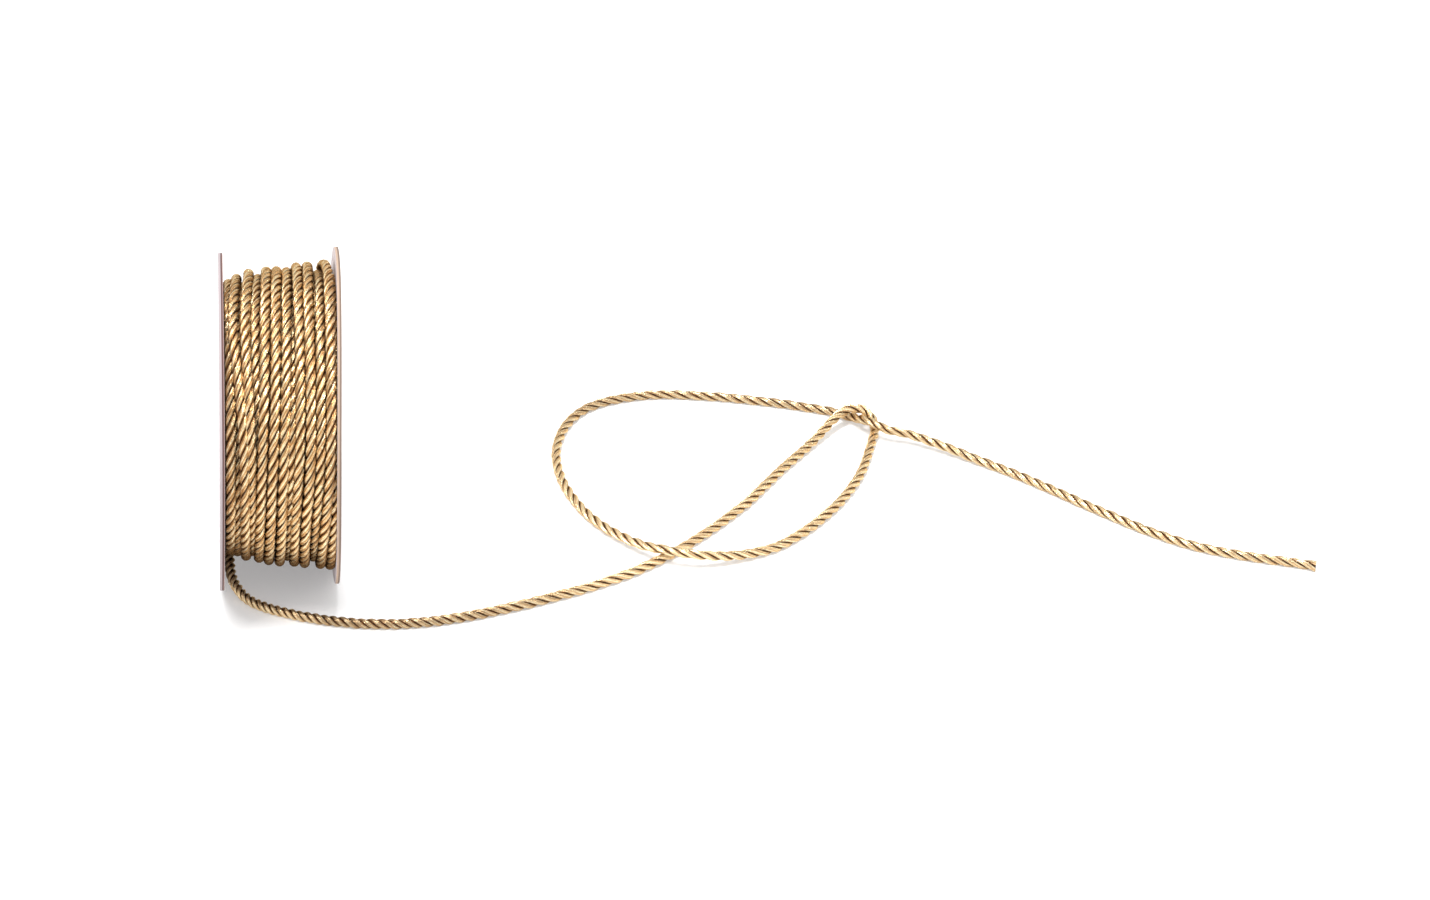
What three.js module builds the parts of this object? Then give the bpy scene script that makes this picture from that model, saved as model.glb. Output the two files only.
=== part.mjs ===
// A reel of twisted decorative cord, its free end drawn out and tied into one loose overhand knot.
// Millimetres, +Z up. The reel's axis lies along X, its two round discs stand on the surface, and the
// origin is on that surface below the middle of the reel. The free end lies in front of and beside it.

import * as THREE from 'three';

// Cord
const CORD_DIAMETER = 3.0;
const CORD_RADIUS = CORD_DIAMETER / 2;
const PLIES = 3;
const GROOVE_DEPTH = 0.42; // from the crown of a ply to the groove beside it
const LAY = 14.4; // length of cord in which a ply goes once round
const STEPS_PER_LAY = 6;
const FLOOR_CLEARANCE = 0.05;

// Reel
const LEFT_DIAMETER = 100;
const RIGHT_DIAMETER = 100.8; // cut a little larger than the left disc
const BOARD = 1.2; // thickness of the discs
const REST_FLAT = 14; // width of the worn flat on which each disc stands
const DISC_STAGGER = 1.5; // the left disc sits this far forward of the axis, the right one as far back
const AXIS_HEIGHT = standingHeight(LEFT_DIAMETER);
const DISC_SEGMENTS = 96; // straight sides round a disc's rim

// Winding
const WINDING_WIDTH = 32.2;
const WINDING_RISE = 1.5; // its middle line lies this much above the discs' middle
const SEAT_GAP = 0.3; // between the winding and each disc
const VALLEY_DEPTH = 1.1; // of the valley between two turns, below the lower one's crown
const SHOULDER = { across: 0.9, below: 0.3 }; // a point on a turn's round side, from its crown
const AROUND = 52; // columns round the winding
const WANDER = { sideways: 0.18, outwards: 0.12 }; // unevenness of the turns

// The outer layer's turns, from the left disc to the right one: place along the axis and crown radius.
const TURNS = [
  { x: -11.5, radius: 43.3 },
  { x: -8.9, radius: 43.4 },
  { x: -5.3, radius: 44.1 },
  { x: -2.1, radius: 44.5 },
  { x: 0.8, radius: 44.8 },
  { x: 4.3, radius: 45.2 },
  { x: 7.5, radius: 45.8 },
  { x: 10.2, radius: 44.9 },
  { x: 12.6, radius: 46.2 },
  { x: 14.7, radius: 44.0 },
];

// The last turn climbs from the layer below, all round the reel beside the left disc, to the bottom of
// the reel, where the cord leaves it towards the front.
const LAST_TURN = { x: -14.6, startRadius: 40.3, endRadius: 44.5, wallAngle: 0.35 };

// Route of the free cord's centre, from where it leaves the reel to its cut end. LYING is the height
// of the centre where the cord lies flat.
const LYING = CORD_RADIUS + FLOOR_CLEARANCE;
const EXIT_HEIGHT = AXIS_HEIGHT + WINDING_RISE - LAST_TURN.endRadius + CORD_RADIUS;
const ROUTE = [
  [-14.6, -0.3, EXIT_HEIGHT],
  [-14.6, -8.0, 7.3],
  [-13.8, -16.5, 3.9],
  [-9.1, -25.0, 1.8],
  [4.4, -33.2, LYING],
  [26.4, -38.6, LYING],
  [50.4, -36.6, LYING],
  [98.4, -18.0, LYING],
  [122.4, -1.6, LYING],
  [148.9, 25.6, LYING],
  [165.4, 48.0, LYING],
  [179.9, 66.2, 2.2],
  [191.7, 79.8, 5.3],
  [195.6, 81.9, 6.0],
  [199.7, 81.6, 5.7],
  [202.7, 79.2, 3.7],
  [203.0, 74.0, 1.6],
  [201.3, 69.2, 1.6],
  [191.4, 44.0, LYING],
  [176.4, 21.0, LYING],
  [157.4, 2.2, LYING],
  [142.4, -5.0, 2.6],
  [129.4, -7.9, 4.8],
  [119.4, -5.2, 5.0],
  [109.4, 4.0, 2.9],
  [97.9, 22.5, LYING],
  [91.9, 47.0, LYING],
  [94.4, 71.0, LYING],
  [105.4, 90.0, LYING],
  [125.4, 99.0, LYING],
  [152.4, 98.0, LYING],
  [188.3, 88.4, 1.6],
  [195.3, 84.2, 1.9],
  [197.5, 81.2, 2.7],
  [200.6, 74.9, 5.1],
  [206.4, 69.7, 4.5],
  [213.9, 67.6, 3.8],
  [240.4, 49.3, LYING],
  [291.4, 0.6, LYING],
  [330.9, -14.0, LYING],
];

const goldYarn = () => new THREE.MeshStandardMaterial({ color: 0xc8a36a, roughness: 0.42, metalness: 0.35 });
const paleBoard = () => new THREE.MeshStandardMaterial({ color: 0xe6d5cc, roughness: 0.85, metalness: 0.0 });

function mesh(name, geometry, material) {
  const piece = new THREE.Mesh(geometry, material);
  piece.name = name;
  return piece;
}

// A closed geometry from rings of points of equal count, each ring joined to the next and both end
// rings closed by a fan round their own middle point.
function loft(rings, endMiddles) {
  const count = rings[0].length;
  const points = rings.flat().concat(endMiddles);
  const faces = [];
  for (let ring = 0; ring + 1 < rings.length; ring += 1) {
    for (let k = 0; k < count; k += 1) {
      const next = (k + 1) % count;
      const a = ring * count + k;
      const b = ring * count + next;
      faces.push(a, b, b + count, a, b + count, a + count);
    }
  }
  const firstMiddle = rings.length * count;
  const lastRing = (rings.length - 1) * count;
  for (let k = 0; k < count; k += 1) {
    const next = (k + 1) % count;
    faces.push(firstMiddle, next, k);
    faces.push(firstMiddle + 1, lastRing + k, lastRing + next);
  }
  const geometry = new THREE.BufferGeometry();
  geometry.setAttribute('position', new THREE.Float32BufferAttribute(points.flatMap((p) => [p.x, p.y, p.z]), 3));
  geometry.setIndex(faces);
  geometry.computeVertexNormals();
  return geometry;
}

// Height of a disc's middle when it stands on its flat.
function standingHeight(diameter) {
  return Math.sqrt((diameter / 2) ** 2 - (REST_FLAT / 2) ** 2);
}

// Disc: a round board with a narrow flat at the bottom, on which the reel stands.
function disc(name, diameter, innerFaceX, outwards, y) {
  const halfFlat = Math.asin(REST_FLAT / diameter);
  const outline = new THREE.Shape();
  outline.absarc(0, 0, diameter / 2, -Math.PI / 2 + halfFlat, 1.5 * Math.PI - halfFlat, false);
  outline.closePath();
  const geometry = new THREE.ExtrudeGeometry(outline, {
    depth: BOARD,
    curveSegments: DISC_SEGMENTS / 2, // three.js doubles it on an arc
    bevelEnabled: false,
  });
  geometry.rotateX(Math.PI / 2);
  geometry.rotateZ(Math.PI / 2);
  const piece = mesh(name, geometry, paleBoard());
  piece.position.set(outwards > 0 ? innerFaceX : innerFaceX - BOARD, y, standingHeight(diameter));
  return piece;
}

// Crown radius of the last turn. The angle is measured round the reel from the bottom, forwards and
// up over the front, so that the turn ends where it began, on top of the layer below.
function lastTurnRadius(angle) {
  return THREE.MathUtils.lerp(LAST_TURN.startRadius, LAST_TURN.endRadius, angle / (2 * Math.PI));
}

// The outline of the winding at one angle, from the left end to the right one: for each turn its
// left shoulder, crown and right shoulder, and a valley between each two.
function windingOutline(angle) {
  const crowns = [{ x: LAST_TURN.x, radius: lastTurnRadius(angle) }];
  TURNS.forEach((turn, i) => {
    const inner = i > 0 && i < TURNS.length - 1;
    crowns.push({
      x: turn.x + (inner ? WANDER.sideways * Math.sin(angle + 1.9 * i) : 0),
      radius: turn.radius + (inner ? WANDER.outwards * Math.sin(2 * angle + 2.3 * i) : 0),
    });
  });
  const half = WINDING_WIDTH / 2;
  const outline = [{ x: -half, radius: crowns[0].radius - VALLEY_DEPTH }];
  crowns.forEach((crown, i) => {
    outline.push({ x: crown.x - SHOULDER.across, radius: crown.radius - SHOULDER.below });
    outline.push({ x: crown.x, radius: crown.radius });
    outline.push({ x: crown.x + SHOULDER.across, radius: crown.radius - SHOULDER.below });
    const next = crowns[i + 1];
    if (next) {
      const lower = Math.min(crown.radius, next.radius);
      outline.push({ x: (crown.x + next.x) / 2, radius: lower - VALLEY_DEPTH });
    }
  });
  outline.push({ x: half, radius: crowns[crowns.length - 1].radius - VALLEY_DEPTH });
  return outline;
}

// Winding: one solid with a ridge for each turn, and the step at the bottom where the last turn ends.
function winding() {
  const wall = THREE.MathUtils.degToRad(LAST_TURN.wallAngle);
  const middle = AXIS_HEIGHT + WINDING_RISE;
  const columns = [];
  for (let k = 0; k < AROUND; k += 1) {
    const angle = wall + ((2 * Math.PI - 2 * wall) * k) / (AROUND - 1);
    columns.push(
      windingOutline(angle).map(
        ({ x, radius }) =>
          new THREE.Vector3(x, -radius * Math.sin(angle), middle - radius * Math.cos(angle)),
      ),
    );
  }
  const rings = columns[0].map((_, j) => columns.map((column) => column[j])).reverse();
  const ends = [1, -1].map((side) => new THREE.Vector3((side * WINDING_WIDTH) / 2, 0, middle));
  return mesh('winding', loft(rings, ends), goldYarn());
}

// The cord's section: for each ply two points on its round back, and one in the groove beside it.
function plySection() {
  const section = [];
  const groove = CORD_RADIUS - GROOVE_DEPTH;
  const third = (2 * Math.PI) / PLIES;
  for (let ply = 0; ply < PLIES; ply += 1) {
    section.push({ angle: ply * third, radius: groove });
    section.push({ angle: (ply + 0.31) * third, radius: CORD_RADIUS });
    section.push({ angle: (ply + 0.69) * third, radius: CORD_RADIUS });
  }
  return section;
}

// Free cord: the twisted section carried along the route, turning once in each lay.
function freeCord() {
  const curve = new THREE.CatmullRomCurve3(ROUTE.map((point) => new THREE.Vector3(...point)), false, 'centripetal');
  curve.arcLengthDivisions = 4000;
  const steps = Math.round((curve.getLength() * STEPS_PER_LAY) / LAY);
  const frames = curve.computeFrenetFrames(steps, false);
  const section = plySection();
  const centres = [];
  const rings = [];
  for (let step = 0; step <= steps; step += 1) {
    const centre = curve.getPointAt(step / steps);
    centre.z = Math.max(centre.z, LYING);
    const twist = (2 * Math.PI * step) / STEPS_PER_LAY;
    centres.push(centre);
    rings.push(
      section.map(({ angle, radius }) =>
        centre
          .clone()
          .addScaledVector(frames.normals[step], radius * Math.cos(angle + twist))
          .addScaledVector(frames.binormals[step], radius * Math.sin(angle + twist)),
      ),
    );
  }
  return mesh('free_cord', loft(rings, [centres[0], centres[steps]]), goldYarn());
}

const innerFace = WINDING_WIDTH / 2 + SEAT_GAP;
const group = new THREE.Group();
group.add(disc('left_disc', LEFT_DIAMETER, -innerFace, -1, -DISC_STAGGER));
group.add(disc('right_disc', RIGHT_DIAMETER, innerFace, 1, DISC_STAGGER));
group.add(winding());
group.add(freeCord());

export default group;
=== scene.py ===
"""A reel of twisted gold decorative cord, its free end drawn out and tied into one loose knot.

Metres, +Z up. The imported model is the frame, and every piece here lies where its solid lies.
"""

import math

import bmesh
import bpy
import numpy as np
from bpy.props import FloatProperty, FloatVectorProperty, PointerProperty
from bpy.types import Operator, Panel, PropertyGroup
from mathutils import Matrix, Vector


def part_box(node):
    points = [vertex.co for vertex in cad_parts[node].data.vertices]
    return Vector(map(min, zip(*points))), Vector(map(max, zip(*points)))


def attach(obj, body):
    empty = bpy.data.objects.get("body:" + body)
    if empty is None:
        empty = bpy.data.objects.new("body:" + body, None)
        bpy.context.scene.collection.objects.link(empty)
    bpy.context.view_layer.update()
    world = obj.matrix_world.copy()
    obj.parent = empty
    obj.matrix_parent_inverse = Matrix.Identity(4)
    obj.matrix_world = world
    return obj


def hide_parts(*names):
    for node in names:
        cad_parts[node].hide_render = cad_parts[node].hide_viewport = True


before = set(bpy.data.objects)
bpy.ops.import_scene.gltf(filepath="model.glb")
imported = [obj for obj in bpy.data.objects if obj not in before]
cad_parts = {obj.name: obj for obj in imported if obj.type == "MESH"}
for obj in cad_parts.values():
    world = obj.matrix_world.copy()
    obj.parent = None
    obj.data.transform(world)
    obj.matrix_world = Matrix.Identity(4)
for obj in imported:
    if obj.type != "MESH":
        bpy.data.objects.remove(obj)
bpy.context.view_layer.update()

bl_info = {
    "name": "Decorative cord on a reel",
    "version": (1, 0, 0),
    "blender": (4, 5, 0),
    "location": "3D View > Sidebar > Cord reel",
    "description": "A reel of twisted gold cord with a loosely knotted free end",
    "category": "Object",
}

MM = 0.001

# The reel, read from the frame
LEFT_LOW, LEFT_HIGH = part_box("left_disc")
WINDING_RISE = 1.5 * MM  # the winding sits this much above the left disc's middle
WINDING_MIDDLE = LEFT_HIGH.z - (LEFT_HIGH.y - LEFT_LOW.y) / 2 + WINDING_RISE

# The cord
DIAMETER = 3 * MM
OVER_PLIES = 3.2 * MM  # measured from ply to ply, where the cord stands out most
PLIES = 3
PLY_RADIUS = 0.535  # share of the cord's radius
WOUND_DIAMETER = 3.15 * MM
WOUND_LAY = 12.4 * MM  # length of the wound cord in which a ply goes once round
LYING = DIAMETER / 2 + 0.05 * MM  # height of its middle where it lies on the surface

# Route of the free cord's middle in millimetres, from the reel to its cut end, as the solid has it.
FLAT = LYING / MM
ROUTE = [
    (-14.6, -0.3, 8.0),
    (-14.6, -8.0, 7.3),
    (-13.8, -16.5, 3.9),
    (-9.1, -25.0, 1.8),
    (4.4, -33.2, FLAT),
    (26.4, -38.6, FLAT),
    (50.4, -36.6, FLAT),
    (98.4, -18.0, FLAT),
    (122.4, -1.6, FLAT),
    (148.9, 25.6, FLAT),
    (165.4, 48.0, FLAT),
    (179.9, 66.2, 2.2),
    (191.7, 79.8, 5.3),
    (195.6, 81.9, 6.0),
    (199.7, 81.6, 5.7),
    (202.7, 79.2, 3.7),
    (203.0, 74.0, 1.6),
    (201.3, 69.2, 1.6),
    (191.4, 44.0, FLAT),
    (176.4, 21.0, FLAT),
    (157.4, 2.2, FLAT),
    (142.4, -5.0, 2.6),
    (129.4, -7.9, 4.8),
    (119.4, -5.2, 5.0),
    (109.4, 4.0, 2.9),
    (97.9, 22.5, FLAT),
    (91.9, 47.0, FLAT),
    (94.4, 71.0, FLAT),
    (105.4, 90.0, FLAT),
    (125.4, 99.0, FLAT),
    (152.4, 98.0, FLAT),
    (188.3, 88.4, 1.6),
    (195.3, 84.2, 1.9),
    (197.5, 81.2, 2.7),
    (200.6, 74.9, 5.1),
    (206.4, 69.7, 4.5),
    (213.9, 67.6, 3.8),
    (240.4, 49.3, FLAT),
    (291.4, 0.6, FLAT),
    (330.9, -14.0, FLAT),
]

# Lay of the free cord by its distance from the reel, in millimetres: tight where it comes off.
FREE_LAY = [(0, 6.4), (35, 6.6), (60, 8.6), (90, 10.0), (120, 13.2), (200, 14.4), (900, 14.4)]

# The plies open in the knot's tight bends: share of the radius by the distance from the reel in
# millimetres.
LOOSE = [
    (0, 1.0), (272, 1.0), (281, 1.07), (293, 1.07), (302, 1.0),
    (616, 1.0), (625, 1.06), (634, 1.06), (644, 1.0),
]

# The cut end splays by this share of the cord's radius, over this length. Both ends are hollowed by a
# share of the radius.
SPLAY = 0.16
SPLAY_LENGTH = 5 * MM
END_HOLLOW = 0.3

# Unevenness of the plies: share of the radius, length in millimetres for one radian, and the shift in
# radians from one ply to the next
UNEVENNESS = [(0.022, 7.3, 2.1), (0.018, 3.1, 4.4), (0.015, 19.0, 1.3)]

# Painted shade, as the share of the yarn's colour that it leaves, 0 to 1: by the free cord's distance from
# the reel in millimetres, darkest where it comes off under the reel and darker along its tight lay and in
# stretches further on, and by the wound cord's angle in degrees from the bottom of the reel, darkest on
# the reel's underside.
FREE_PAINTED_LIGHT = [
    (0, 0.25), (12, 0.34), (19, 0.6), (26, 0.95), (40, 0.85), (55, 0.48), (90, 0.52), (120, 0.6),
    (155, 1.0), (480, 1.0), (530, 0.58), (600, 0.6), (680, 0.72),
]
WOUND_PAINTED_LIGHT = [(0, 0.08), (30, 0.1), (46, 0.34), (60, 0.78), (80, 1.0), (180, 1.0)]

# The flanks of a wound cord get painted shade beside the next turn: all dark and all clear at these
# cosines of the angle from straight outwards.
FLANK_DARK = -0.25
FLANK_CLEAR = 0.7

# How finely the cords are made: points for each stretch of the route, places at which its length is
# measured, rings for each lay, points for each ply, and degrees between two places of a turn
ROUTE_STEPS = 60
LENGTH_PLACES = 8001
FREE_FINENESS = {"rings_per_lay": 18, "points_per_ply": 10}
OUTER_FINENESS = {"rings_per_lay": 11, "points_per_ply": 8}
UNDER_FINENESS = {"rings_per_lay": 8, "points_per_ply": 5}
TURN_STEP = 3.0
TURN_ROUNDING = 3  # neighbours over which a turn's corners are rounded
CORD_SMOOTHING = 50  # degrees; edges sharper than this stay sharp

# The outer layer, turn by turn in the order of winding, from the right disc to the left one. Each row
# gives the angle round the reel in degrees, from the bottom, forwards and up over the front, the place
# along the axis and the distance of the cord's outside from the winding's middle, in millimetres.
TURNS = [
    [(-110, 14.9, 42.6), (-40, 14.9, 45.4), (32, 14.9, 46.5), (60, 14.8, 46.2), (90, 15.4, 44.5),
     (130, 15.5, 42.8), (207, 15.2, 42.2)],
    [(32, 12.0, 46.2), (60, 11.9, 46.2), (75, 12.5, 46.2), (95, 13.7, 46.3), (155, 13.9, 46.3),
     (188, 14.2, 46.4), (210, 13.1, 46.4)],
    [(32, 9.9, 43.8), (60, 9.4, 44.2), (78, 10.0, 45.2), (100, 11.0, 45.5), (150, 11.0, 45.2),
     (175, 11.6, 44.6), (207, 11.4, 43.0)],
    [(32, 7.4, 45.8), (60, 6.8, 45.8), (80, 7.1, 45.8), (100, 8.2, 45.8), (120, 8.2, 45.8),
     (170, 7.9, 45.8), (207, 8.7, 45.7)],
    [(32, 4.3, 45.3), (60, 3.9, 45.3), (80, 4.0, 45.3), (100, 5.1, 45.3), (120, 5.3, 45.3),
     (175, 5.2, 45.2), (207, 5.4, 45.4)],
    [(32, 2.3, 43.5), (60, 2.2, 43.7), (110, 3.0, 44.2), (150, 3.4, 42.4), (207, 3.7, 41.4)],
    [(32, -0.1, 45.3), (60, 0.1, 45.2), (90, 0.4, 45.0), (120, 1.1, 44.8), (150, 1.6, 44.5),
     (207, 2.5, 43.9)],
    [(32, -3.3, 44.8), (60, -3.1, 44.8), (90, -2.7, 44.7), (120, -1.8, 44.6), (180, -1.1, 44.3),
     (207, -0.3, 44.2)],
    [(32, -6.1, 44.0), (60, -6.1, 44.0), (90, -5.6, 44.1), (120, -5.0, 44.1), (180, -4.0, 44.2),
     (207, -3.3, 44.2)],
    [(32, -7.5, 39.8), (90, -7.2, 40.0), (125, -7.2, 41.6), (150, -7.3, 42.9), (207, -5.9, 41.8)],
    [(32, -8.1, 42.0), (90, -8.2, 43.0), (107, -8.5, 43.8), (135, -9.5, 44.0), (158, -10.3, 43.8),
     (180, -9.2, 43.6), (207, -8.5, 43.4)],
    [(32, -9.7, 43.4), (60, -10.1, 43.5), (105, -10.4, 43.7), (133, -11.9, 43.8), (153, -13.8, 43.4),
     (180, -12.8, 42.4), (207, -12.1, 41.8)],
    [(32, -12.2, 42.1), (60, -12.2, 41.6), (150, -12.0, 39.6), (207, -11.9, 39.2)],
    [(32, -14.3, 41.6), (90, -14.2, 42.4), (135, -14.2, 42.2), (160, -14.4, 40.6), (207, -14.6, 40.3),
     (270, -14.6, 41.8), (325, -14.6, 44.2), (345, -14.6, 44.5), (360, -14.6, 44.5)],
]

# The layer below, which shows between the turns: angle in degrees from its start beside the left disc,
# place along the axis and distance of its outside from the winding's middle, in millimetres
UNDER = [
    (0, -14.7, 38.5), (330, -14.7, 38.7), (690, -11.9, 39.2), (3930, 12.1, 42.4), (4260, 14.6, 42.6),
    (4620, 14.6, 42.6),
]

# The cords' own map: millimetres from one ply's stretch to the next, and where the cut ends start
PLY_SPACING = 10
CUT_END_PLACE = 40

# The yarn's pattern, in millimetres on that map: width of one yarn, of which every third is bright and
# every third dull, how far its edges stray, and how many cells of noise there are across and along
YARN = 0.5
YARN_CYCLE = 3
STRAY = 0.5
THREADS_ACROSS = 3.2
THREADS_ALONG = 0.7
PATCHES = 420.0  # cells of the wider patches in a metre

# Between which values the bright and dull yarns, the foil, the painted shade in the grooves and the other
# painted shade fade in
YARN_FADE = (0.25, 0.85)
FOIL_FADE = (0.48, 0.6)
GROOVE_FADE = (0.06, 0.7)
PAINTED_LIGHT_FADE = (0.05, 0.9)

# The tone of the yarn is a sum of these shares, less a start, and the stops of its colours lie on it.
# Its foil and its relief are sums of the like.
TONE = {"threads": 0.7, "patches": 0.6, "yarn": 0.15, "bright": 0.22, "dull": 0.3, "start": 0.2}
TONE_STOPS = (0.15, 0.5, 0.8)
FOIL = {"threads": 0.6, "patches": 0.4}
RELIEF = {"yarn": 0.75, "threads": 0.2}

# The yarn's finish, and how much more metallic and smoother its foil is
YARN_METALLIC = 0.88
FOIL_METALLIC = 0.1
YARN_ROUGHNESS = 0.3
FOIL_SMOOTHNESS = 0.12
YARN_RELIEF = 0.16 * MM

# The boards: sides round the rim, rings of faces on each side and their width as a share of the
# radius, rounding of the edges as a share of the thickness, and its segments
RIM_SIDES = 192
FACE_RINGS = 4
RING_WIDTH = 0.18
EDGE_ROUNDING = 0.14
EDGE_SEGMENTS = 2
BOARD_SMOOTHING = 30  # degrees; edges sharper than this stay sharp
SHARP_EDGE = 60  # degrees, for the edges that are rounded
FLAT_SIDE = 0.9  # a face that looks along the axis more than this is a flat side of the board
RIM_TURNED = 0.6  # and one that looks along it less than this is part of the rim
CUT_SLACK = 0.001 * MM  # for the cut that makes the worn flat

# Where the colours of a rim stand, from the board's inner face at 0 to its outer one at 1
LEFT_LAYERS = (0.16, 0.26, 0.44, 0.54)
RIGHT_LAYERS = (0.44, 0.56)

# The paper of a face and the layers of a rim: cells of noise in a metre, share of the colour that the
# dark places keep, roughness and relief. The tone of each is a sum of shares, as the yarn's is.
FACE_FINISH = {"cloud": 60.0, "fibre": 900.0, "dark": 0.86, "roughness": 0.78, "relief": 0.04 * MM}
FACE_TONE = {"cloud": 0.7, "fibre": 0.3}
RIM_FINISH = {"cloud": 120.0, "round": 60, "dark": 0.75, "roughness": 0.85, "relief": 0.06 * MM}
RIM_TONE = {"layers": 0.7, "cloud": 0.5, "start": 0.1}
RIM_LAYERS = 8.0  # cells of noise in the board's thickness

# Height above level, in radians, of the direction in which the discs are bent most
BEND_LIFT = math.radians(20)
PRESS_GAP = 0.03 * MM  # between a board and the turns that lie flat against it

# Direction from which the studio's even light is brightest, and between which cosines from it the
# light changes to that of the room behind
BRIGHT_SIDE = (-0.1, -0.35, 0.93)
ROOM_FADE = (-0.15, 0.35)

# The two lights: degrees from the front to the right and above level, distance from the place that
# they face, and width and height, in metres
KEY_LIGHT = {"azimuth": -42, "elevation": 76, "distance": 2.2, "size": (0.45, 1.6)}
FILL_LIGHT = {"azimuth": 50, "elevation": 25, "distance": 1.3, "size": (0.8, 0.8)}
LIT_PLACE = (0.06, 0.0, 0.03)
FLOOR_SIZE = 60  # metres, so large that its edge shows in no view
FLOOR_ROUGHNESS = 0.9

# The camera, placed as in the photograph
CAMERA = {"place": (-0.0168, -0.7325, 0.4697), "pan": 11.56, "pitch": 30.0, "roll": 5.54}
FOCAL_PIXELS = 2800
FRAME_WIDTH = 1430
SENSOR = 36.0
NEAREST_SEEN = 0.01
FARTHEST_SEEN = 50


class Socket:
    """A shader value that Python's arithmetic turns into Math nodes."""

    def __init__(self, maker, output):
        self.maker = maker
        self.output = output

    def _math(self, operation, *values):
        return self.maker.add("ShaderNodeMath", {"operation": operation}, dict(enumerate(values)))

    def __add__(self, other):
        return self._math("ADD", self, other)

    def __radd__(self, other):
        return self._math("ADD", other, self)

    def __sub__(self, other):
        return self._math("SUBTRACT", self, other)

    def __rsub__(self, other):
        return self._math("SUBTRACT", other, self)

    def __mul__(self, other):
        return self._math("MULTIPLY", self, other)

    def __rmul__(self, other):
        return self._math("MULTIPLY", other, self)

    def sine(self):
        return self._math("SINE", self)

    def absolute(self):
        return self._math("ABSOLUTE", self)

    def clamped(self):
        return self.maker.add("ShaderNodeClamp", {}, {0: self})


class Nodes:
    """The nodes of a material or of the world, whose old ones it clears away."""

    def __init__(self, owner):
        self.owner = owner
        owner.use_nodes = True
        self.tree = owner.node_tree
        self.tree.nodes.clear()

    def add(self, kind, settings, inputs, output=0):
        """Adds a node: its settings first, then the values or links of its sockets."""
        node = self.tree.nodes.new(kind)
        for name, value in settings.items():
            if name == "stops":
                self._stops(node.color_ramp, value)
            else:
                setattr(node, name, value)
        for key, value in inputs.items():
            self._feed(node.inputs[key], value)
        return Socket(self, node.outputs[output]) if node.outputs else None

    def _stops(self, ramp, stops):
        while len(ramp.elements) < len(stops):
            ramp.elements.new(1.0)
        for element, (place, colour) in zip(ramp.elements, stops):
            element.position = place
            element.color = (*colour, 1.0)

    def _feed(self, socket, value):
        if isinstance(value, Socket):
            self.tree.links.new(value.output, socket)
        elif hasattr(value, "__len__") and socket.type == "RGBA":
            socket.default_value = (*value[:3], 1.0)
        else:
            socket.default_value = value

    def mix(self, share, first, second):
        """A colour that goes from first to second as share goes from 0 to 1."""
        return self.add("ShaderNodeMix", {"data_type": "RGBA"}, {0: share, 6: first, 7: second}, output=2)

    def noise(self, vector, scale, detail, roughness=0.5):
        return self.add(
            "ShaderNodeTexNoise",
            {},
            {"Vector": vector, "Scale": scale, "Detail": detail, "Roughness": roughness},
        )

    def place(self):
        """Place on the piece, in metres."""
        return self.add("ShaderNodeTexCoord", {}, {}, output=3)

    def attribute(self, name):
        return self.add("ShaderNodeAttribute", {"attribute_name": name}, {}, output=2)

    def smooth(self, value, low, high):
        """0 below low and 1 above high, eased between them."""
        return self.add(
            "ShaderNodeMapRange",
            {"interpolation_type": "SMOOTHSTEP"},
            {"Value": value, "From Min": low, "From Max": high},
        )

    def bump(self, height, distance):
        return self.add("ShaderNodeBump", {}, {"Height": height, "Distance": distance})

    def surface(self, **sockets):
        """The shader itself. Its sockets are named as in Blender, with _ for a space."""
        shader = self.add(
            "ShaderNodeBsdfPrincipled",
            {},
            {name.replace("_", " "): value for name, value in sockets.items()},
        )
        self.add("ShaderNodeOutputMaterial", {}, {"Surface": shader})
        return self.owner


def centripetal(points, steps):
    """Points on a smooth curve through the given ones: a centripetal Catmull-Rom curve."""
    points = np.asarray(points, float)
    before = 2 * points[0] - points[1]
    after = 2 * points[-1] - points[-2]
    held = np.vstack([before, points, after])
    found = []
    for p0, p1, p2, p3 in zip(held, held[1:], held[2:], held[3:]):
        d0, d1, d2 = (math.sqrt(np.linalg.norm(b - a)) for a, b in ((p0, p1), (p1, p2), (p2, p3)))
        leave = ((p1 - p0) / d0 - (p2 - p0) / (d0 + d1) + (p2 - p1) / d1) * d1
        arrive = ((p2 - p1) / d1 - (p3 - p1) / (d1 + d2) + (p3 - p2) / d2) * d1
        t = np.linspace(0, 1, steps, endpoint=False)[:, None]
        found.append(
            p1 + leave * t + (3 * (p2 - p1) - 2 * leave - arrive) * t**2
            + (2 * (p1 - p2) + leave + arrive) * t**3
        )
    return np.vstack([*found, points[-1:]])


def distances(points):
    """How far along a line each of its points is."""
    return np.concatenate([[0], np.cumsum(np.linalg.norm(np.diff(points, axis=0), axis=1))])


def respaced(points, at):
    """The places on a line at the given distances along it."""
    along = distances(points)
    return np.stack([np.interp(at, along, points[:, k]) for k in range(3)], axis=1)


def unit(vectors):
    return vectors / np.linalg.norm(vectors, axis=-1, keepdims=True)


def carried_normals(tangents, first):
    """A normal at each point of a line that turns no more than the line does, from the first one on."""
    normals = np.zeros_like(tangents)
    normal = np.asarray(first, float)
    for i, tangent in enumerate(tangents):
        normal = normal - tangent * normal.dot(tangent)
        normal /= np.linalg.norm(normal)
        normals[i] = normal
    return normals


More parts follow.
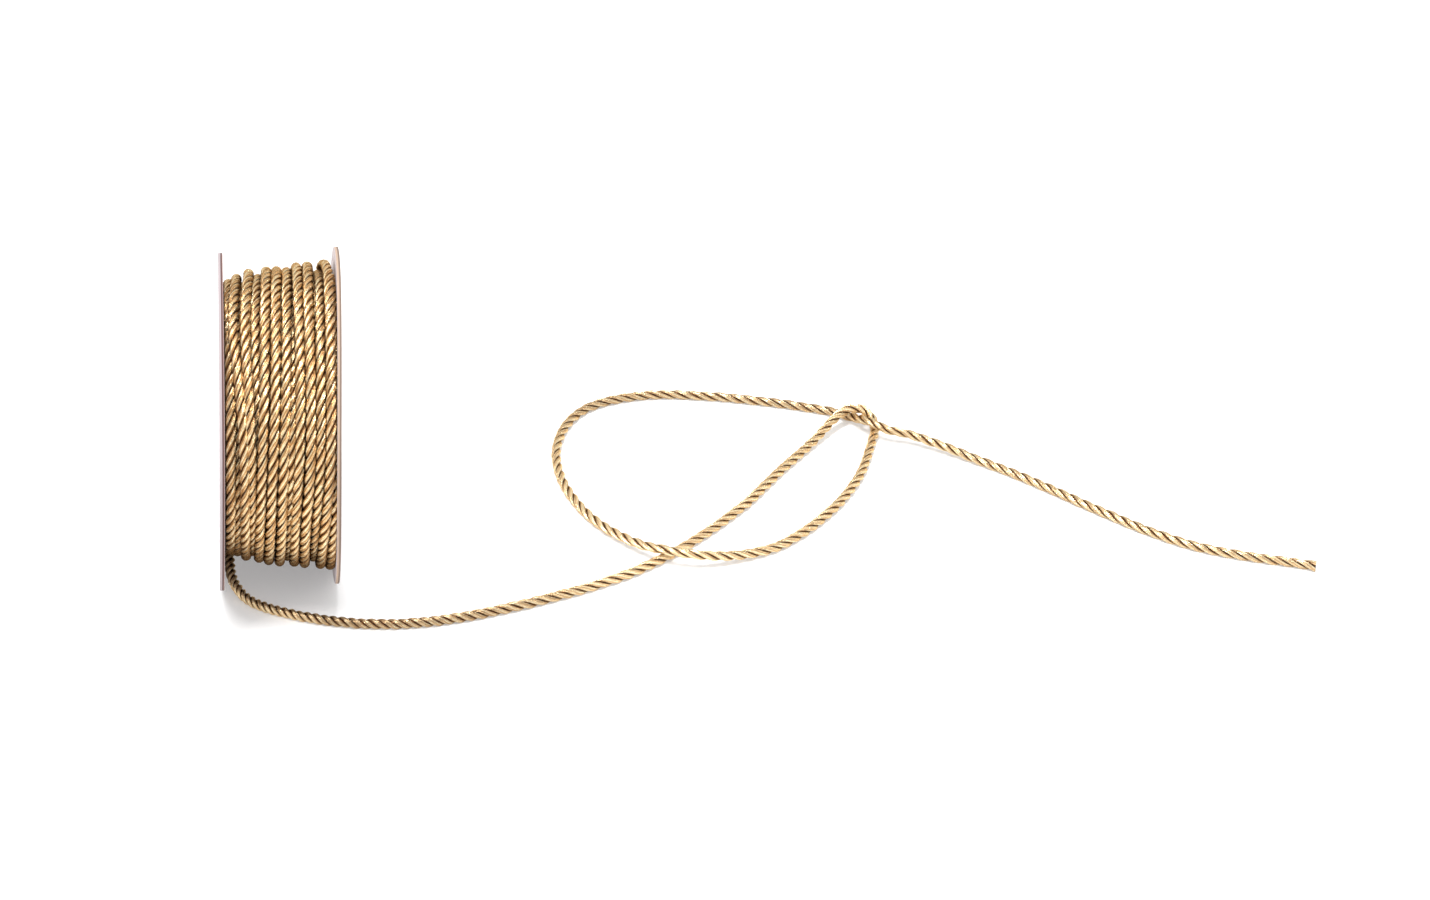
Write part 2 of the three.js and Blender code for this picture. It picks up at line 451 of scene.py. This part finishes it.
def ply_section(points_per_ply):
    """The outline of three plies laid together, for a cord of radius 1: the plies are round and meet in
    a groove. Gives the angle and the radius of each point, with each ply starting in a groove, and the
    length of a ply's outline."""
    offset = 1 - PLY_RADIUS
    third = 2 * math.pi / PLIES
    half = offset * math.cos(third / 2)
    groove = half + math.sqrt(half**2 - offset**2 + PLY_RADIUS**2)
    reach = math.acos((groove * math.cos(third / 2) - offset) / PLY_RADIUS)
    angles, radii = [], []
    for ply in range(PLIES):
        for j in range(points_per_ply):
            turn = -reach + 2 * reach * j / points_per_ply
            x = offset + PLY_RADIUS * math.cos(turn)
            y = PLY_RADIUS * math.sin(turn)
            angles.append(math.atan2(y, x) + ply * third)
            radii.append(math.hypot(x, y))
    return np.array(angles), np.array(radii), 2 * reach * PLY_RADIUS


def laid_cord(name, path, normals, twist, radii, painted_light_share, points_per_ply, wound=False):
    """A mesh of laid plies that follows path. Twist is the angle of the plies, radii the cord's radius
    and openness the share of its colour that painted shade leaves, one for each point of path. The plies
    that lie on the surface are flattened by it. Attribute crown is 0 in the grooves and 1 on the plies'
    backs, and attribute open is the openness, less on the flanks of a wound cord beside other turns, where
    painted shade darkens them."""
    tangents = unit(np.gradient(path, axis=0))
    normals = unit(normals - tangents * (normals * tangents).sum(1, keepdims=True))
    binormals = np.cross(tangents, normals)
    angles, shares, ply_width = ply_section(points_per_ply)
    around = angles[None, :] + twist[:, None]
    along = distances(path)
    reach = radii[:, None] * shares[None, :] * uneven_plies(along, points_per_ply)
    places = (
        path[:, None, :]
        + normals[:, None, :] * (reach * np.cos(around))[..., None]
        + binormals[:, None, :] * (reach * np.sin(around))[..., None]
    )
    hollow = END_HOLLOW * radii.mean()
    ends = [path[0] + tangents[0] * hollow, path[-1] - tangents[-1] * hollow]
    points = np.vstack([places.reshape(-1, 3), ends])
    points[:, 2] = np.maximum(points[:, 2], 0)

    sides, first_cap, last_cap = cord_faces(len(path), len(angles))
    mesh = bpy.data.meshes.new(name)
    mesh.from_pydata(points.tolist(), [], sides.tolist() + first_cap.tolist() + last_cap.tolist())
    step = ply_width * radii.mean() / MM / points_per_ply
    maps = [ply_map(along, points_per_ply, step), cap_map(points, first_cap), cap_map(points, last_cap)]
    layer = mesh.uv_layers.new(name="Ply")
    layer.data.foreach_set("uv", np.concatenate(maps).astype(np.float32))

    across = (np.arange(len(angles)) % points_per_ply) / points_per_ply
    point_values(mesh, "crown", np.tile(np.sin(np.pi * across), len(path)))
    flank = np.ones(around.shape)
    # Painted shade on a wound cord's flanks, beside the next turn
    if wound:
        flank = np.clip((np.cos(around) - FLANK_DARK) / (FLANK_CLEAR - FLANK_DARK), 0, 1)
    # This attribute carries the painted shade: the share of the colour it leaves
    point_values(mesh, "open", flank * painted_light_share[:, None])
    mesh.validate()
    mesh.update()
    piece = bpy.data.objects.new(name, mesh)
    bpy.context.scene.collection.objects.link(piece)
    smooth(piece, CORD_SMOOTHING)
    return piece


def uneven_plies(along, points_per_ply):
    """How thick the plies are at these distances along the cord, one value for each point of a ring."""
    ply = np.repeat(np.arange(PLIES), points_per_ply)[None, :]
    return 1 + sum(
        depth * np.sin(along[:, None] / (pitch * MM) + ply * shift)
        for depth, pitch, shift in UNEVENNESS
    )


def cord_faces(rings, count):
    """The faces of a tube whose rings have count points each: those of its sides, and a fan at each end
    round its middle point. The two middle points come after the rings' points."""
    ring, k = np.meshgrid(np.arange(rings - 1), np.arange(count), indexing="ij")
    here = ring * count
    following = (k + 1) % count
    sides = np.stack([here + k, here + following, here + count + following, here + count + k], axis=-1)
    k = np.arange(count)
    following = (k + 1) % count
    first_middle = rings * count
    last_ring = first_middle - count
    first_cap = np.stack([np.full(count, first_middle), following, k], axis=1)
    last_cap = np.stack([np.full(count, first_middle + 1), last_ring + k, last_ring + following], axis=1)
    return sides.reshape(-1, 4), first_cap, last_cap


def ply_map(along, points_per_ply, step):
    """A flat map in millimetres of a cord's sides: across each ply, each ply PLY_SPACING further on, and
    along the cord. Step is the width of a face."""
    count = PLIES * points_per_ply
    column = np.tile(np.arange(count), len(along) - 1)
    left = (column // points_per_ply) * PLY_SPACING + (column % points_per_ply) * step
    low = np.repeat(along[:-1], count) / MM
    high = np.repeat(along[1:], count) / MM
    return np.stack([left, low, left + step, low, left + step, high, left, high], axis=1).ravel()


def cap_map(points, faces):
    """A flat map in millimetres of the faces at a cut end."""
    flat = (points[faces.ravel()] - points[faces[0, 0]])[:, [1, 2]] / MM
    return (flat + CUT_END_PLACE).ravel()


def point_values(mesh, name, values):
    """Stores an attribute: values for the points of a cord's rings, and 1 for its two middle points."""
    attribute = mesh.attributes.new(name, "FLOAT", "POINT")
    attribute.data.foreach_set("value", np.append(values, [1, 1]).astype(np.float32))


def choose(*pieces):
    """Selects only these objects and makes the first one active."""
    bpy.ops.object.select_all(action="DESELECT")
    for piece in pieces:
        piece.select_set(True)
    bpy.context.view_layer.objects.active = pieces[0]


def smooth(piece, degrees):
    """Shades a piece smooth, but for edges sharper than this."""
    choose(piece)
    bpy.ops.object.shade_smooth_by_angle(angle=math.radians(degrees))


def leaned(colour, other, share):
    """A colour moved by a share of the way towards another."""
    return [part + (aim - part) * share for part, aim in zip(colour, other)]


def dimmed(colour, share):
    """A colour of which only this share is left."""
    return [part * share for part in colour]


def gold_yarn(name, settings, painted_floor_light=0.0):
    """Metallised yarn: each ply is several yarns, with bright foil among their threads, and painted shade
    sinks the colour to brown in the grooves, between the turns, under the reel and along parts of the free
    cord.
    The last argument paints a paler copy of the yarn for the loose cord, standing in for light reflected
    from the pale floor."""
    finish = Nodes(bpy.data.materials.new(name))
    ply_place = finish.add("ShaderNodeUVMap", {"uv_map": "Ply"}, {})
    across = finish.add("ShaderNodeSeparateXYZ", {}, {0: ply_place})
    along = Socket(finish, across.output.node.outputs[1])
    lean = math.radians(settings.yarn_lean)
    side = across * math.cos(lean) + along * math.sin(lean)
    run = along * math.cos(lean) - across * math.sin(lean)
    cells = {0: side * THREADS_ACROSS, 1: run * THREADS_ALONG, 2: 0.0}
    threads = finish.noise(finish.add("ShaderNodeCombineXYZ", {}, cells), 1.0, detail=3.0, roughness=0.6)
    patches = finish.noise(finish.place(), PATCHES, detail=3.0)

    strayed = side + (threads - 0.5) * STRAY
    cycle = strayed * (2 * math.pi / (YARN_CYCLE * YARN))
    yarn = (strayed * (math.pi / YARN)).sine().absolute()
    dull = finish.smooth(cycle.sine(), *YARN_FADE)
    bright = finish.smooth((cycle + 2 * math.pi / YARN_CYCLE).sine(), *YARN_FADE)
    foil = finish.smooth(threads * FOIL["threads"] + patches * FOIL["patches"], *FOIL_FADE)
    even = threads * TONE["threads"] + patches * TONE["patches"] - TONE["start"]
    streaks = yarn * TONE["yarn"] + bright * TONE["bright"] - dull * TONE["dull"]
    colours = (settings.shade_colour, settings.yarn_colour, settings.foil_colour)
    # Painted reflection: the loose cord's copy leans to a pale colour that stands in for light from the
    # pale floor
    stops = [(at, leaned(tint, settings.painted_floor_light_colour, painted_floor_light)) for at, tint in zip(TONE_STOPS, colours)]
    body = finish.add("ShaderNodeValToRGB", {"stops": stops}, {0: (even + streaks).clamped()})

    # Painted shade: the colour sinks to the dark shade colour in the grooves and wherever the attributes
    # leave little light
    on_crown = finish.smooth(finish.attribute("crown"), *GROOVE_FADE)
    lit = on_crown * finish.smooth(finish.attribute("open"), *PAINTED_LIGHT_FADE)
    relief = yarn * RELIEF["yarn"] + threads * RELIEF["threads"]
    return finish.surface(
        Base_Color=finish.mix(lit, settings.painted_shade_colour, body),
        Metallic=foil * FOIL_METALLIC + YARN_METALLIC,
        Roughness=YARN_ROUGHNESS - foil * FOIL_SMOOTHNESS,
        Specular_Tint=settings.glint_colour,
        Normal=finish.bump(relief, YARN_RELIEF),
    )


class CordSettings(PropertyGroup):
    """Sizes and colours of the cord"""

    yarn_colour: FloatVectorProperty(
        name="Yarn colour", description="Colour of most of the yarn", subtype="COLOR",
        default=(0.90, 0.56, 0.255), min=0, max=1,
    )
    foil_colour: FloatVectorProperty(
        name="Foil colour", description="Colour of the brightest threads", subtype="COLOR",
        default=(1.0, 0.87, 0.57), min=0, max=1,
    )
    shade_colour: FloatVectorProperty(
        name="Shade colour", description="Colour of the darkest threads", subtype="COLOR",
        default=(0.42, 0.215, 0.078), min=0, max=1,
    )
    glint_colour: FloatVectorProperty(
        name="Glint colour", description="Tint of what the yarn mirrors at a flat angle", subtype="COLOR",
        default=(1.0, 0.80, 0.52), min=0, max=1,
    )
    # Painted shade: the dark colour painted into the grooves between plies and the other shaded places
    painted_shade_colour: FloatVectorProperty(
        name="Groove colour", description="Colour down between two plies", subtype="COLOR",
        default=(0.08, 0.025, 0.008), min=0, max=1,
    )
    # Painted reflection: the pale colour of light from the floor, which the loose cord's yarn leans to
    painted_floor_light_colour: FloatVectorProperty(
        name="Pale colour", description="Colour that the yarn leans to where the cord lies loose",
        subtype="COLOR", default=(1.0, 0.87, 0.60), min=0, max=1,
    )
    # Painted reflection: how far the loose cord's yarn leans to that pale colour
    painted_floor_light: FloatProperty(
        name="Paleness", description="How far the loose cord's yarn leans to the pale colour",
        default=0.27, min=0, max=1, subtype="FACTOR",
    )
    yarn_lean: FloatProperty(
        name="Yarn lean", description="Angle in degrees between a ply and the yarns in it", default=11.0,
        min=0, max=60,
    )
    diameter: FloatProperty(
        name="Diameter", description="Diameter of the free cord over its plies", default=OVER_PLIES,
        min=0.001, max=0.01, precision=4, unit="LENGTH", subtype="DISTANCE",
    )
    wound_diameter: FloatProperty(
        name="Wound diameter", description="Diameter of the cord on the reel", default=WOUND_DIAMETER,
        min=0.001, max=0.01, precision=4, unit="LENGTH", subtype="DISTANCE",
    )


class ReelSettings(PropertyGroup):
    """Shapes and colours of the reel's discs"""

    face_colour: FloatVectorProperty(
        name="Face colour", description="Colour of the discs' paper faces", subtype="COLOR",
        default=(0.69, 0.62, 0.64), min=0, max=1,
    )
    left_edge: FloatVectorProperty(
        name="Left edge colour", description="Colour of the board at the left disc's rim",
        subtype="COLOR", default=(0.10, 0.045, 0.045), min=0, max=1,
    )
    left_inner_edge: FloatVectorProperty(
        name="Left inner edge colour", description="Colour of the inner layers at the left disc's rim",
        subtype="COLOR", default=(0.28, 0.17, 0.145), min=0, max=1,
    )
    left_outer_edge: FloatVectorProperty(
        name="Left outer edge colour", description="Colour of the outer layers at the left disc's rim",
        subtype="COLOR", default=(0.43, 0.365, 0.375), min=0, max=1,
    )
    right_edge: FloatVectorProperty(
        name="Right edge colour", description="Colour of the board at the right disc's rim",
        subtype="COLOR", default=(0.50, 0.36, 0.27), min=0, max=1,
    )
    right_outer_edge: FloatVectorProperty(
        name="Right outer edge colour", description="Colour of the outer layers at the right disc's rim",
        subtype="COLOR", default=(0.22, 0.155, 0.12), min=0, max=1,
    )
    left_bend: FloatProperty(
        name="Left bend", description="How far the left disc's near rim is bent towards the winding",
        default=0.0003, min=0, max=0.003, precision=5, unit="LENGTH", subtype="DISTANCE",
    )
    right_bend: FloatProperty(
        name="Right bend", description="How far the right disc's near rim is bent towards the winding",
        default=0.001, min=0, max=0.003, precision=5, unit="LENGTH", subtype="DISTANCE",
    )
    left_swelling: FloatProperty(
        name="Left swelling",
        description="How much thicker the left disc's board has swollen on its inner side",
        default=0.0002, min=0, max=0.001, precision=5, unit="LENGTH", subtype="DISTANCE",
    )


class StudioSettings(PropertyGroup):
    """The floor and the light"""

    floor_colour: FloatVectorProperty(
        name="Floor colour", description="Colour of the plain floor", subtype="COLOR",
        default=(0.68, 0.68, 0.68), min=0, max=1,
    )
    surround: FloatProperty(
        name="Surround", description="Strength of the even light from above and in front",
        default=0.85, min=0, max=5,
    )
    room_behind: FloatProperty(
        name="Room behind", description="Strength of the even light from behind and below",
        default=0.8, min=0, max=5,
    )
    floor_glow: FloatProperty(
        name="Floor glow", description="Light that the floor gives off itself, like a light table",
        default=0.3, min=0, max=2,
    )
    key_power: FloatProperty(
        name="Key light", description="Power of the tall light above, to the left", default=62.0,
        min=0, max=500, unit="POWER",
    )
    fill_power: FloatProperty(
        name="Fill light", description="Power of the soft light at the front", default=2.0,
        min=0, max=500, unit="POWER",
    )


def wound_path(knots):
    """Middle of a cord that is wound round the reel through knots, each an angle in degrees, a place
    along the axis and a distance of its outside from the winding's middle, in millimetres."""
    knots = np.array(knots, float)
    angle = np.arange(knots[0, 0], knots[-1, 0] + TURN_STEP / 2, TURN_STEP)
    place = eased(np.interp(angle, knots[:, 0], knots[:, 1])) * MM
    radius = eased(np.interp(angle, knots[:, 0], knots[:, 2])) * MM - WOUND_DIAMETER / 2
    psi = np.radians(angle)
    return np.stack([place, -radius * np.sin(psi), WINDING_MIDDLE - radius * np.cos(psi)], axis=1)


def eased(values):
    """The values with their corners rounded over a few neighbours, and both ends kept."""
    reach = 2 * TURN_ROUNDING
    weights = np.exp(-0.5 * (np.arange(-reach, reach + 1) / TURN_ROUNDING) ** 2)
    weights /= weights.sum()
    padded = np.pad(values, reach, mode="reflect", reflect_type="odd")
    return np.convolve(padded, weights, mode="valid")


def outwards(path):
    """Directions away from the winding's middle line, one for each point of path."""
    away = path - np.array([0, 0, WINDING_MIDDLE])
    away[:, 0] = 0
    return unit(away)


class CORD_OT_free_cord(Operator):
    """Lays the free end of the cord on the surface, with its loose knot"""

    bl_idname = "cord_reel.free_cord"
    bl_label = "Free cord"

    def execute(self, context):
        settings = context.scene.cord_settings
        line = centripetal(ROUTE, ROUTE_STEPS) * MM
        line[:, 2] = np.maximum(line[:, 2], LYING)
        length = distances(line)[-1]
        fine = np.linspace(0, length, LENGTH_PLACES)
        lay = np.interp(fine / MM, *zip(*FREE_LAY)) * MM
        turns = np.concatenate([[0], np.cumsum((fine[1] - fine[0]) / lay[1:])])
        ring_turns = np.linspace(0, turns[-1], round(turns[-1] * FREE_FINENESS["rings_per_lay"]) + 1)
        at = np.interp(ring_turns, turns, fine)
        path = respaced(line, at)
        tangents = unit(np.gradient(path, axis=0))
        normals = carried_normals(tangents, (0, 0, -1))
        twist = 2 * math.pi * ring_turns
        spread = np.clip(1 - (length - at) / SPLAY_LENGTH, 0, 1) ** 2
        radii = settings.diameter / 2 * (1 + SPLAY * spread) * np.interp(at / MM, *zip(*LOOSE))
        # Painted shade along the free cord: darkest where it comes off under the reel, darker along its
        # tight lay and in stretches further on
        painted_light_share = np.interp(at / MM, *zip(*FREE_PAINTED_LIGHT))
        points_per_ply = FREE_FINENESS["points_per_ply"]
        piece = laid_cord("free_length_of_cord", path, normals, twist, radii, painted_light_share, points_per_ply)
        # The free cord gets a paler copy of the yarn: painted reflection of the pale floor's light
        piece.data.materials.append(gold_yarn("gold yarn", settings, settings.painted_floor_light))
        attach(piece, "root")
        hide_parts("free_cord")
        return {"FINISHED"}


class CORD_OT_winding(Operator):
    """Winds the cord on the reel: the outer layer turn by turn and the layer below it"""

    bl_idname = "cord_reel.winding"
    bl_label = "Winding"

    def execute(self, context):
        settings = context.scene.cord_settings
        yarn = gold_yarn("gold yarn on the reel", settings)
        knots = [(360 * k + angle, x, radius) for k, turn in enumerate(TURNS) for angle, x, radius in turn]
        outer = self.turns("outer_turns", knots, settings, **OUTER_FINENESS)
        under = self.turns("turns_below", UNDER, settings, **UNDER_FINENESS)
        for piece in (outer, under):
            self.press(piece, context.scene.reel_settings)
            piece.data.materials.append(yarn)
            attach(piece, "root")
        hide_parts("winding")
        return {"FINISHED"}

    def press(self, piece, settings):
        """Flattens the turns where they lie against the boards."""
        vertices = piece.data.vertices
        places = np.zeros(len(vertices) * 3)
        vertices.foreach_get("co", places)
        places = places.reshape(-1, 3)
        boards = (("left_disc", -1, settings.left_bend), ("right_disc", 1, settings.right_bend))
        for node, side, bend in boards:
            low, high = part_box(node)
            inner = min(abs(low.x), abs(high.x)) - (settings.left_swelling if side < 0 else 0)
            room = inner - bend * bent_share(places, low, high) - PRESS_GAP
            places[:, 0] = side * np.minimum(side * places[:, 0], room)
        vertices.foreach_set("co", places.ravel())
        piece.data.update()

    def turns(self, name, knots, settings, rings_per_lay, points_per_ply):
        """A length of cord wound through knots, each an angle, a place along the axis and a radius."""
        line = wound_path(knots)
        length = distances(line)[-1]
        at = np.linspace(0, length, round(length / WOUND_LAY * rings_per_lay) + 1)
        path = respaced(line, at)
        twist = 2 * math.pi * (at - length) / WOUND_LAY
        radii = np.full(len(path), settings.wound_diameter / 2)
        away = outwards(path)
        from_bottom = np.degrees(np.arccos(np.clip(-away[:, 2], -1, 1)))
        # Painted shade on the winding, darkest on the reel's underside
        painted_light_share = np.interp(from_bottom, *zip(*WOUND_PAINTED_LIGHT))
        return laid_cord(name, path, away, twist, radii, painted_light_share, points_per_ply, wound=True)


class CORD_OT_discs(Operator):
    """Makes the reel's two board discs, each a little bent at its rim"""

    bl_idname = "cord_reel.discs"
    bl_label = "Discs"

    def execute(self, context):
        settings = context.scene.reel_settings
        face = board_face(settings)
        left_colours = (
            settings.left_inner_edge, settings.left_edge, settings.left_edge, settings.left_outer_edge,
        )
        right_colours = (settings.right_edge, settings.right_outer_edge)
        left_rim = board_rim("left rim", list(zip(LEFT_LAYERS, left_colours)))
        right_rim = board_rim("right rim", list(zip(RIGHT_LAYERS, right_colours)))
        for node, bend, rim in (
            ("left_disc", settings.left_bend, left_rim),
            ("right_disc", -settings.right_bend, right_rim),
        ):
            low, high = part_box(node)
            if node == "left_disc":
                high.x += settings.left_swelling
            piece = self.disc(node, low, high)
            self.bend(piece, low, high, bend)
            piece.data.materials.append(face)
            piece.data.materials.append(rim)
            for polygon in piece.data.polygons:
                polygon.material_index = 1 if abs(polygon.normal.x) < RIM_TURNED else 0
            smooth(piece, BOARD_SMOOTHING)
            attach(piece, "root")
            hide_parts(node)
        return {"FINISHED"}

    def disc(self, node, low, high):
        """A round board with softened edges, rings of faces on both sides and a worn flat below."""
        board = high.x - low.x
        radius = (high.y - low.y) / 2
        middle = Vector(((low.x + high.x) / 2, (low.y + high.y) / 2, high.z - radius))
        bpy.ops.object.select_all(action="DESELECT")
        bpy.ops.mesh.primitive_cylinder_add(
            vertices=RIM_SIDES, radius=radius, depth=board, location=middle, rotation=(0, math.pi / 2, 0)
        )
        piece = bpy.context.object
        piece.name = node.replace("disc", "board")
        bpy.ops.object.transform_apply(location=True, rotation=True, scale=True)
        bpy.ops.object.mode_set(mode="EDIT")
        bpy.ops.mesh.select_mode(type="FACE")
        bpy.ops.mesh.select_all(action="DESELECT")
        body = bmesh.from_edit_mesh(piece.data)
        for side in body.faces:
            side.select_set(abs(side.normal.x) > FLAT_SIDE)
        bmesh.update_edit_mesh(piece.data)
        for _ in range(FACE_RINGS):
            bpy.ops.mesh.inset(thickness=radius * RING_WIDTH)
        bpy.ops.mesh.select_mode(type="EDGE")
        bpy.ops.mesh.select_all(action="DESELECT")
        bpy.ops.mesh.edges_select_sharp(sharpness=math.radians(SHARP_EDGE))
        bpy.ops.mesh.bevel(offset=board * EDGE_ROUNDING, segments=EDGE_SEGMENTS, affect="EDGES")
        bpy.ops.mesh.select_all(action="SELECT")
        bpy.ops.mesh.bisect(
            plane_co=(0, 0, low.z), plane_no=(0, 0, 1), clear_inner=True, use_fill=True,
            threshold=CUT_SLACK,
        )
        bpy.ops.object.mode_set(mode="OBJECT")
        inner = min(abs(low.x), abs(high.x))
        layer = piece.data.attributes.new("layer", "FLOAT", "POINT")
        depths = [(abs(vertex.co.x) - inner) / board for vertex in piece.data.vertices]
        layer.data.foreach_set("value", depths)
        return piece

    def bend(self, piece, low, high, depth):
        """Bends the board's near side along the axis by depth, most of all at the height BEND_LIFT."""
        places = np.array([vertex.co for vertex in piece.data.vertices])
        for vertex, share in zip(piece.data.vertices, bent_share(places, low, high)):
            vertex.co.x += depth * share


def bent_share(places, low, high):
    """How much of a disc's bend there is at these places: 1 at the near rim, 0 behind the middle."""
    radius = (high.y - low.y) / 2
    middle = np.array([0, (low.y + high.y) / 2, high.z - radius])
    nearest = np.array([0, -math.cos(BEND_LIFT), math.sin(BEND_LIFT)])
    return np.clip((places - middle) @ nearest / radius, 0, None) ** 2


def board_face(settings):
    """The paper on a disc's face: plain and matt, with faint fibres."""
    finish = Nodes(bpy.data.materials.new("board face"))
    place = finish.place()
    cloud = finish.noise(place, FACE_FINISH["cloud"], detail=4.0)
    fibre = finish.noise(place, FACE_FINISH["fibre"], detail=3.0)
    tone = (cloud * FACE_TONE["cloud"] + fibre * FACE_TONE["fibre"]).clamped()
    dark = dimmed(settings.face_colour, FACE_FINISH["dark"])
    return finish.surface(
        Base_Color=finish.mix(tone, dark, settings.face_colour),
        Roughness=FACE_FINISH["roughness"],
        Normal=finish.bump(fibre, FACE_FINISH["relief"]),
    )


def board_rim(name, stops):
    """The cut edge of the board: its layers run round it as fine lines. Stops give the colours from
    the board's inner face, where the attribute layer is 0, to the outer one, where it is 1."""
    finish = Nodes(bpy.data.materials.new(name))
    place = finish.place()
    layer = finish.attribute("layer")
    cells = (0, RIM_FINISH["round"], RIM_FINISH["round"])
    stretched = finish.add("ShaderNodeVectorMath", {"operation": "MULTIPLY"}, {0: place, 1: cells})
    spread = finish.add("ShaderNodeCombineXYZ", {}, {0: layer * RIM_LAYERS, 1: 0.0, 2: 0.0})
    lines = finish.add("ShaderNodeVectorMath", {"operation": "ADD"}, {0: stretched, 1: spread})
    layers = finish.noise(lines, 1.0, detail=2.0)
    cloud = finish.noise(place, RIM_FINISH["cloud"], detail=3.0)
    tone = (layers * RIM_TONE["layers"] + cloud * RIM_TONE["cloud"] - RIM_TONE["start"]).clamped()
    dark_stops = [(at, dimmed(colour, RIM_FINISH["dark"])) for at, colour in stops]
    light = finish.add("ShaderNodeValToRGB", {"stops": stops}, {0: layer})
    dark = finish.add("ShaderNodeValToRGB", {"stops": dark_stops}, {0: layer})
    return finish.surface(
        Base_Color=finish.mix(tone, dark, light),
        Roughness=RIM_FINISH["roughness"],
        Normal=finish.bump(layers, RIM_FINISH["relief"]),
    )


class CORD_OT_stage(Operator):
    """Sets up the plain floor, the soft studio light and the camera"""

    bl_idname = "cord_reel.stage"
    bl_label = "Floor, light and camera"

    def execute(self, context):
        settings = context.scene.studio_settings
        scene = context.scene
        bpy.ops.object.select_all(action="DESELECT")
        bpy.ops.mesh.primitive_plane_add(size=FLOOR_SIZE, location=(0, 0, 0))
        floor = context.object
        floor.name = "floor"
        finish = Nodes(bpy.data.materials.new("floor"))
        floor.data.materials.append(finish.surface(
            Base_Color=settings.floor_colour,
            Roughness=FLOOR_ROUGHNESS,
            Emission_Color=(1.0, 1.0, 1.0),
            Emission_Strength=settings.floor_glow,
        ))

        self.surroundings(scene, settings)
        self.area("key light", KEY_LIGHT, settings.key_power)
        self.area("fill light", FILL_LIGHT, settings.fill_power)

        camera = bpy.data.objects.new("camera", bpy.data.cameras.new("camera"))
        scene.collection.objects.link(camera)
        camera.matrix_world = Matrix.Translation(CAMERA["place"]) @ camera_turn().to_4x4()
        camera.data.sensor_width = SENSOR
        camera.data.lens = FOCAL_PIXELS * SENSOR / FRAME_WIDTH
        camera.data.clip_start = NEAREST_SEEN
        camera.data.clip_end = FARTHEST_SEEN
        scene.camera = camera
        scene.view_settings.view_transform = "Standard"
        return {"FINISHED"}

    def surroundings(self, scene, settings):
        """Even light from above and in front, and a little less of it from the room behind."""
        scene.world = bpy.data.worlds.new("studio")
        room = Nodes(scene.world)
        direction = room.add("ShaderNodeTexCoord", {}, {}, output=0)
        sides = {0: direction, 1: BRIGHT_SIDE}
        facing = room.add("ShaderNodeVectorMath", {"operation": "DOT_PRODUCT"}, sides, output=1)
        share = room.smooth(facing, *ROOM_FADE)
        level = share * (settings.surround - settings.room_behind) + settings.room_behind
        background = room.add("ShaderNodeBackground", {}, {"Color": (1.0, 1.0, 1.0), "Strength": level})
        room.add("ShaderNodeOutputWorld", {}, {"Surface": background})

    def area(self, name, light, power):
        """A light that faces the part, placed and sized as light says."""
        azimuth = math.radians(light["azimuth"])
        elevation = math.radians(light["elevation"])
        level = math.cos(elevation)
        away = Vector((math.sin(azimuth) * level, -math.cos(azimuth) * level, math.sin(elevation)))
        lamp = bpy.data.objects.new(name, bpy.data.lights.new(name, "AREA"))
        lamp.data.energy = power
        lamp.data.shape = "RECTANGLE"
        lamp.data.size, lamp.data.size_y = light["size"]
        lamp.location = Vector(LIT_PLACE) + away * light["distance"]
        lamp.rotation_mode = "QUATERNION"
        lamp.rotation_quaternion = away.to_track_quat("Z", "Y")
        bpy.context.scene.collection.objects.link(lamp)


def camera_turn():
    """The camera's rotation from its pan to the right of +Y, its pitch down and its roll."""
    pan, pitch, roll = (math.radians(CAMERA[k]) for k in ("pan", "pitch", "roll"))
    ahead = Vector((math.sin(pan) * math.cos(pitch), math.cos(pan) * math.cos(pitch), -math.sin(pitch)))
    level = Vector((math.cos(pan), -math.sin(pan), 0))
    above = level.cross(ahead)
    right = level * math.cos(roll) + above * math.sin(roll)
    up = above * math.cos(roll) - level * math.sin(roll)
    return Matrix((right, up, -ahead)).transposed()


class CORD_PT_panel(Panel):
    bl_label = "Cord reel"
    bl_idname = "CORD_PT_panel"
    bl_space_type = "VIEW_3D"
    bl_region_type = "UI"
    bl_category = "Cord reel"

    def draw(self, context):
        scene = context.scene
        for title, group in (
            ("Cord", scene.cord_settings),
            ("Reel", scene.reel_settings),
            ("Studio", scene.studio_settings),
        ):
            box = self.layout.box()
            box.label(text=title)
            for name in group.__annotations__:
                box.prop(group, name)
        for operator in OPERATORS:
            self.layout.operator(operator.bl_idname)


OPERATORS = (CORD_OT_stage, CORD_OT_free_cord, CORD_OT_winding, CORD_OT_discs)
GROUPS = {"cord_settings": CordSettings, "reel_settings": ReelSettings, "studio_settings": StudioSettings}
CLASSES = (*GROUPS.values(), *OPERATORS, CORD_PT_panel)


def register():
    for cls in CLASSES:
        bpy.utils.register_class(cls)
    for name, group in GROUPS.items():
        setattr(bpy.types.Scene, name, PointerProperty(type=group))


def unregister():
    for name in GROUPS:
        delattr(bpy.types.Scene, name)
    for cls in reversed(CLASSES):
        bpy.utils.unregister_class(cls)


def main():
    register()
    bpy.ops.cord_reel.stage()
    bpy.ops.cord_reel.free_cord()
    bpy.ops.cord_reel.winding()
    bpy.ops.cord_reel.discs()


if __name__ == "__main__":
    main()
